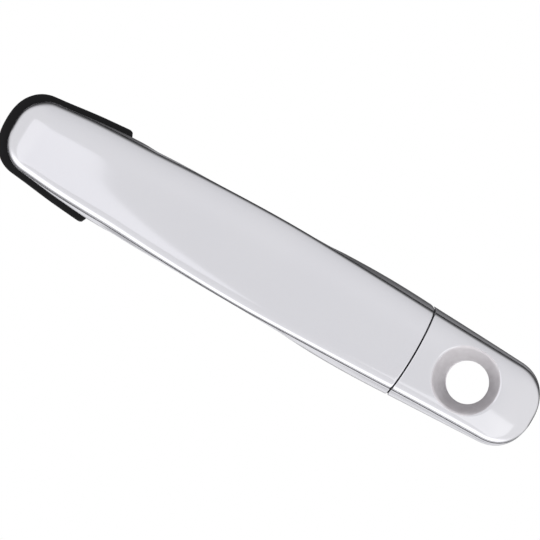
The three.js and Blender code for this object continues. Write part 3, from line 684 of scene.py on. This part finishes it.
def make_cap_cover(paint, recess):
    """The cap's face, hollow but for the wall and the sleeve round the lock bore."""
    rings = [cover_section(x, DISH_STEPS, inset, dish=True) for x, inset in cap_stations(DISH_STEP)]
    obj = loft("lock_cap_cover_fine", rings)
    inner = stations(*CAP_HOLLOW, 1.5, 0, TAIL_ROUND)
    cavity = loft("cavity", [cover_section(x, 14, WALL, cavity=True) for x in inner])
    sleeve_r, sleeve_y = LOCK_R + SLEEVE_WALL, (-CONE_FLOOR, -CONE_FLOOR + SLEEVE_LENGTH)
    core_r, beyond = sleeve_r - 0.05, 30
    wide = core_r + CONE_SLOPE * (beyond - CONE_FLOOR)
    core_profile = [(wide, -beyond), (core_r, sleeve_y[0]), (core_r, sleeve_y[1])]
    core = lathe("core", "y", (LOCK_X, 0), core_profile, BORE_SIDES)
    combine(cavity, "DIFFERENCE", core)
    combine(obj, "DIFFERENCE", cavity)
    sleeve_profile = [(sleeve_r, sleeve_y[0] + 0.1), (sleeve_r, sleeve_y[1])]
    combine(obj, "UNION", lathe("sleeve", "y", (LOCK_X, 0), sleeve_profile, BORE_SIDES))
    combine(obj, "DIFFERENCE", lathe("bore", "y", (LOCK_X, 0), [(LOCK_R, -40), (LOCK_R, 0)], BORE_SIDES))
    smooth(obj)
    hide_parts("lock_cap_cover")
    finish_piece(obj, "fixed_body", paint)
    obj.data.materials.append(recess)
    for face in obj.data.polygons:
        if in_countersink(face.center):
            face.material_index = 1


def make_cap_base(paint):
    obj = loft("lock_cap_base_fine", [base_section(x, 40, inset) for x, inset in cap_stations(SHELL_STEP)])
    inner = stations(*CAP_HOLLOW, 2, 0, TAIL_ROUND)
    combine(obj, "DIFFERENCE", loft("cavity", [base_section(x, 16, WALL, WALL) for x in inner]))
    across = (-CAP_TONGUE_HALF, CAP_TONGUE_HALF)
    tongue = box_object("tongue", CAP_TONGUE, (-SEAT - 1, CAP_TONGUE_END), across)
    combine(obj, "UNION", lip(*CAP_LIP), tongue)
    lock_profile = [(LOCK_CLEARANCE_R, -SEAT - 4), (LOCK_CLEARANCE_R, 0)]
    lock_hole = lathe("lock_hole", "y", (LOCK_X, 0), lock_profile, BORE_SIDES)
    screw_profile = [(CAP_SCREW_R, CAP_TONGUE[0] - PAST), (CAP_SCREW_R, CAP_TONGUE[1] + PAST)]
    screw_hole = lathe("screw_hole", "x", (CAP_SCREW_Y, 0), screw_profile, 24)
    combine(obj, "DIFFERENCE", lock_hole, screw_hole)
    smooth(obj)
    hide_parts("lock_cap_base")
    finish_piece(obj, "fixed_body", paint)


# ---------------------------------------------------------------- spring


def make_spring(material):
    """The return spring: one leg on the carrier, the other on the crank."""
    y0, z0 = CRANK_AXIS
    steps = 160
    path = [Vector((SPRING_X[0], y0 - SPRING_CARRIER_LEG, z0 - SPRING_RADIUS))]
    for i in range(steps + 1):
        angle = -math.pi / 2 - 2 * math.pi * SPRING_TURNS * i / steps
        y, z = y0 + SPRING_RADIUS * math.cos(angle), z0 + SPRING_RADIUS * math.sin(angle)
        path.append(Vector((lerp(*SPRING_X, i / steps), y, z)))
    path.append(Vector((SPRING_X[1], y0 + SPRING_CRANK_LEG, z0 + SPRING_RADIUS)))
    sides = 12
    vertices, faces = [], []
    for i, point in enumerate(path):
        tangent = (path[min(i + 1, len(path) - 1)] - path[max(i - 1, 0)]).normalized()
        across = tangent.cross(Vector((1, 0, 0))).normalized()
        up = across.cross(tangent)
        for k in range(sides):
            a = 2 * math.pi * k / sides
            vertices.append(point + SPRING_WIRE * (math.cos(a) * across + math.sin(a) * up))
    for i in range(len(path) - 1):
        for k in range(sides):
            m = (k + 1) % sides
            faces.append((i * sides + k, i * sides + m, (i + 1) * sides + m, (i + 1) * sides + k))
    faces.append(tuple(reversed(range(sides))))
    faces.append(tuple(range(len(vertices) - sides, len(vertices))))
    obj = mesh_object("return_spring_fine", vertices, faces)
    clean(obj, 1e-7)
    smooth(obj, 50)
    obj.data.materials.append(material)
    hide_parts("return_spring")
    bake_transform(obj)


# ---------------------------------------------------------------- gasket


def gasket_outline():
    """Half the plan outline of the front gasket: (x, half height) from its tip to its rear edge."""
    round_length = NOSE_ROUND + 1
    points = []
    for x in stations(GASKET_TIP, GASKET_REAR, 0.8, round_start=round_length):
        half = (foot_half(x) + GASKET_GROW) * round_end(x - GASKET_TIP, round_length)
        late = clamp((x - (GASKET_REAR - GASKET_CORNER)) / GASKET_CORNER)
        points.append((x, half - GASKET_CORNER * (1 - math.sqrt(max(0, 1 - late * late)))))
    # Points close together keep the corner's direction apart from the straight rear edge's.
    for _ in range(5):
        points.append((GASKET_REAR, points[-1][1] - 0.01))
    return points


def make_front_gasket(rubber):
    """Rings of the plan outline, drawn in towards both faces so that the edge is round."""
    upper = [(x, z) for x, z in gasket_outline() if z > 0.02]
    plan = [Vector(point) for point in upper] + [Vector((x, -z)) for x, z in reversed(upper)]
    centre = Vector(((GASKET_TIP + GASKET_REAR) / 2, 0))
    count = len(plan)
    normals = []
    for i, point in enumerate(plan):
        along = plan[(i + 1) % count] - plan[i - 1]
        normal = Vector((along.y, -along.x)).normalized()
        normals.append(-normal if normal.dot(point - centre) < 0 else normal)
    low, high, r = SKIN, SKIN + GASKET, GASKET_EDGE
    angles = [math.radians(15 * k) for k in range(7)]
    rings = [(r - r * math.sin(a), low + r - r * math.cos(a)) for a in angles]
    rings += [(r - r * math.cos(a), high - r + r * math.sin(a)) for a in angles]
    vertices = [
        (p.x - n.x * inset, -out, p.y - n.y * inset) for inset, out in rings for p, n in zip(plan, normals)
    ]
    faces = []
    for s in range(len(rings) - 1):
        for i in range(count):
            j = (i + 1) % count
            faces.append((s * count + i, s * count + j, (s + 1) * count + j, (s + 1) * count + i))
    faces.append(tuple(range(count)))
    faces.append(tuple(range(len(vertices) - count, len(vertices))))
    obj = mesh_object("front_gasket_fine", vertices, faces)
    clean(obj, 1e-7)
    through_y = (-5, 1)
    window = box_object("window", GASKET_WINDOW[0], through_y, GASKET_WINDOW[1])
    nut_hole = lathe("nut_hole", "y", FRONT_NUT, [(FRONT_NUT_R, y) for y in through_y], 48)
    combine(obj, "DIFFERENCE", window, nut_hole)
    smooth(obj)
    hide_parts("front_gasket")
    finish_piece(obj, "fixed_body", rubber)


# ---------------------------------------------------------------- studio


# Angle in degrees up from the camera's own side, over the top and behind, and the tone seen there.
STUDIO_TONES = [
    (-180, 0.35), (-160, 0.35), (-147, 0.70), (-132, 1.40), (-111, 1.35), (-97, 0.80), (-60, 0.74), (0, 0.76),
    (20, 0.80), (60, 0.77), (90, 0.72), (114, 0.66), (130, 0.34), (144, 0.08), (180, 0.04),
]
SIDE_TONE = (0.80, 0.795, 0.81, 1)


def set_tones(elements):
    """Fills a colour ramp's elements with the studio's tones, in a faintly cool grey."""
    while len(elements) > 1:
        elements.remove(elements[-1])
    for k, (degrees, tone) in enumerate(STUDIO_TONES):
        spot = elements[0] if k == 0 else elements.new(0.5 + degrees / 360)
        spot.position = 0.5 + degrees / 360
        spot.color = (tone, tone * 0.995, tone * 1.02, 1)


def studio_world():
    """A white surround for the camera, and soft bands of a studio for the reflections."""
    world = bpy.data.worlds.new("studio")
    bpy.context.scene.world = world
    world.use_nodes = True
    tree = world.node_tree
    tree.nodes.clear()
    way = add_node(tree, "ShaderNodeTexCoord").outputs["Generated"]
    axes = add_node(tree, "ShaderNodeSeparateXYZ", {0: way}).outputs
    ahead = add_node(tree, "ShaderNodeMath", {0: axes["Y"], 1: -1}, operation="MULTIPLY").outputs[0]
    turn = add_node(tree, "ShaderNodeMath", {0: axes["Z"], 1: ahead}, operation="ARCTAN2").outputs[0]
    full_turn = {"Value": turn, "From Min": -math.pi, "From Max": math.pi}
    share = add_node(tree, "ShaderNodeMapRange", full_turn).outputs["Result"]
    ramp = add_node(tree, "ShaderNodeValToRGB", {"Fac": share})
    set_tones(ramp.color_ramp.elements)
    # Towards either side the tone evens out.
    apart = add_node(tree, "ShaderNodeMath", {0: axes["X"]}, operation="ABSOLUTE").outputs[0]
    reach = {"Value": apart, "From Min": 0.55, "From Max": 0.9}
    sideways = add_node(tree, "ShaderNodeMapRange", reach, interpolation_type="SMOOTHSTEP").outputs["Result"]
    mixed = {"Factor": sideways, "A": ramp.outputs["Color"], "B": SIDE_TONE}
    evened = add_node(tree, "ShaderNodeMix", mixed, data_type="RGBA").outputs["Result"]
    around = add_node(tree, "ShaderNodeBackground", {"Color": evened}).outputs[0]
    white = add_node(tree, "ShaderNodeBackground", {"Color": (1, 1, 1, 1)}).outputs[0]
    seen = add_node(tree, "ShaderNodeLightPath").outputs["Is Camera Ray"]
    pick = add_node(tree, "ShaderNodeMixShader", {"Fac": seen, 1: around, 2: white}).outputs[0]
    add_node(tree, "ShaderNodeOutputWorld", {"Surface": pick})


def panel(name, at, aim, size, power, colour=(1, 1, 1), mirrored=True):
    """A soft rectangular light; at and aim are in metres. Only if it is mirrored does the gloss show it."""
    light = bpy.data.lights.new(name, "AREA")
    light.shape = "RECTANGLE"
    light.size, light.size_y = size
    light.energy = power
    light.color = colour
    obj = bpy.data.objects.new(name, light)
    obj.location = at
    obj.rotation_euler = (Vector(aim) - Vector(at)).to_track_quat("-Z", "Y").to_euler()
    obj.visible_glossy = mirrored
    bpy.context.scene.collection.objects.link(obj)


# In metres.
FLOOR_RADIUS = 1.6
FLOOR_LEVEL = -0.45
HANDLE_MIDDLE = (-0.06, 0, 0)


def studio_floor():
    disc = bmesh.new()
    bmesh.ops.create_circle(disc, cap_ends=True, radius=FLOOR_RADIUS, segments=96)
    mesh = bpy.data.meshes.new("studio_floor")
    disc.to_mesh(mesh)
    disc.free()
    floor = bpy.data.objects.new("studio_floor", mesh)
    floor.location = (-0.065, 0, FLOOR_LEVEL)
    bpy.context.scene.collection.objects.link(floor)
    n = Nodes("floor_paint", Roughness=0.9)
    n.colour(n.mix(n.noise(300, 2.0), rgba(0.86, 0.86, 0.87), rgba(0.90, 0.90, 0.90)))
    floor.data.materials.append(n.material)
    floor.visible_glossy = False
    floor.visible_shadow = False


VIEW_TARGET = (-64.9, -10.0, -0.15)
VIEW_DISTANCE = 2200
VIEW_AZIMUTH = 0.0
VIEW_ELEVATION = -2.0
VIEW_ROLL = 29.8
VIEW_WIDTH = 213.2


def make_camera():
    """Looks almost square on at the handle, which runs down to the right across the frame."""
    data = bpy.data.cameras.new("camera")
    data.sensor_width = 36
    data.lens = 36 * VIEW_DISTANCE / VIEW_WIDTH
    data.clip_start = 0.05
    camera = bpy.data.objects.new("camera", data)
    a, e, roll = (math.radians(v) for v in (VIEW_AZIMUTH, VIEW_ELEVATION, VIEW_ROLL))
    back = Vector((math.sin(a) * math.cos(e), -math.cos(a) * math.cos(e), math.sin(e)))
    level = back.to_track_quat("Z", "Y").to_matrix()
    turned = level @ Matrix.Rotation(roll, 3, "Z")
    place = (Vector(VIEW_TARGET) + back * VIEW_DISTANCE) * MM
    camera.matrix_world = Matrix.Translation(place) @ turned.to_4x4()
    bpy.context.scene.collection.objects.link(camera)
    bpy.context.scene.camera = camera


# ---------------------------------------------------------------- the scene

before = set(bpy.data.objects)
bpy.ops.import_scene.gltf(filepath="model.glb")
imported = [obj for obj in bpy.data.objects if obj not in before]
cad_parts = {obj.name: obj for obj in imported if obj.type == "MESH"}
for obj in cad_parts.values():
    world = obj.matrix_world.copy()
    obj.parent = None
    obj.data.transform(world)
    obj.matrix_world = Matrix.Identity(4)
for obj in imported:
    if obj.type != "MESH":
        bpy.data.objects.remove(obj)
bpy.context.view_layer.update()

silver = silver_paint("silver_paint", (0.80, 0.80, 0.83), (0.84, 0.84, 0.86), 0.14, 1.0)
# The bases' silver is the face paint darkened to about 0.6: partly a duller moulding of their own, partly
# painted shade on the flanks that run back to the door.
satin_silver = silver_paint("satin_silver", (0.49, 0.49, 0.505), (0.53, 0.53, 0.545), 0.30, 0.5)
rubber = gasket_rubber()
nylon = moulded("carrier_nylon", (0.016, 0.016, 0.017), (0.026, 0.026, 0.028))
hook_nylon = moulded("hook_nylon", (0.022, 0.022, 0.023), (0.034, 0.034, 0.036), 0.3)
crank_nylon = moulded("crank_nylon", (0.05, 0.05, 0.052), (0.07, 0.07, 0.073), 0.3)
buffer_rubber = moulded("buffer_rubber", (0.014, 0.014, 0.014), (0.022, 0.022, 0.022), 0.5, (0.7, 0.85))
bush_plastic = moulded("bush_plastic", (0.62, 0.60, 0.54), (0.72, 0.70, 0.64), 0.5, (0.3, 0.42), 0.01)
zinc = metal("zinc_plate", (0.60, 0.61, 0.62), 0.34, (1, 1, 1))
ground = metal("ground_steel", (0.56, 0.57, 0.58), 0.24, (0.15, 1, 1))
phosphate = metal("phosphate_steel", (0.20, 0.20, 0.21), 0.55, (1, 1, 1), 0.3)
spring_wire = metal("spring_wire", (0.30, 0.30, 0.32), 0.30, (1, 1, 1), 0.25)

make_grip_cover(silver)
make_grip_base(satin_silver)
make_cap_cover(silver, countersink_paint())
make_cap_base(satin_silver)
make_front_gasket(rubber)
make_spring(spring_wire)

# Node, body, slot, material and the size of its softened edges in millimetres.
SOFTENED = [
    ("carrier", "fixed_body", "carrier_nylon", nylon, 0.35),
    ("rear_gasket", "fixed_body", "gasket_rubber", rubber, 0.4),
    ("hinge_hook", "grip_body", "hook_nylon", hook_nylon, 0.3),
    ("pull_leg", "grip_body", "hook_nylon", hook_nylon, 0.4),
    ("stop_buffer", "grip_body", "buffer_rubber", buffer_rubber, 0.25),
    ("bell_crank", "crank_body", "crank_nylon", crank_nylon, 0.3),
    ("counterweight", "crank_body", "weight_steel", phosphate, 0.4),
    ("cable_bush", "crank_body", "bush_plastic", bush_plastic, 0.2),
    ("cap_screw", "fixed_body", "fastener_steel", zinc, 0.2),
    ("hinge_pin", "fixed_body", "pin_steel", ground, 0.3),
    ("crank_pin", "fixed_body", "pin_steel", ground, 0.3),
    ("crank_pin_clip", "fixed_body", "spring_steel", spring_wire, 0.15),
    ("front_nut", "fixed_body", "fastener_steel", zinc, 0.25),
    ("rear_nut_upper", "fixed_body", "fastener_steel", zinc, 0.25),
    ("rear_nut_lower", "fixed_body", "fastener_steel", zinc, 0.25),
    ("hook_screw_1", "grip_body", "fastener_steel", zinc, 0.2),
    ("hook_screw_2", "grip_body", "fastener_steel", zinc, 0.2),
    ("leg_screw_1", "grip_body", "fastener_steel", zinc, 0.2),
    ("leg_screw_2", "grip_body", "fastener_steel", zinc, 0.2),
]
for node, body, slot, material, width in SOFTENED:
    finish_piece(softened(node, width), body, material)

studio_world()
studio_floor()
panel("front_panel", (-1.35, -1.12, -0.8), HANDLE_MIDDLE, (2.7, 2.9), 4.6, (0.95, 0.94, 1.0))
panel("rear_panel", (1.15, -0.8, -1.0), HANDLE_MIDDLE, (1.6, 2.0), 1.9)
panel("low_light", (0.8, -0.96, -1.04), HANDLE_MIDDLE, (0.8, 0.8), 20, mirrored=False)
make_camera()
bpy.context.scene.view_settings.view_transform = "Standard"
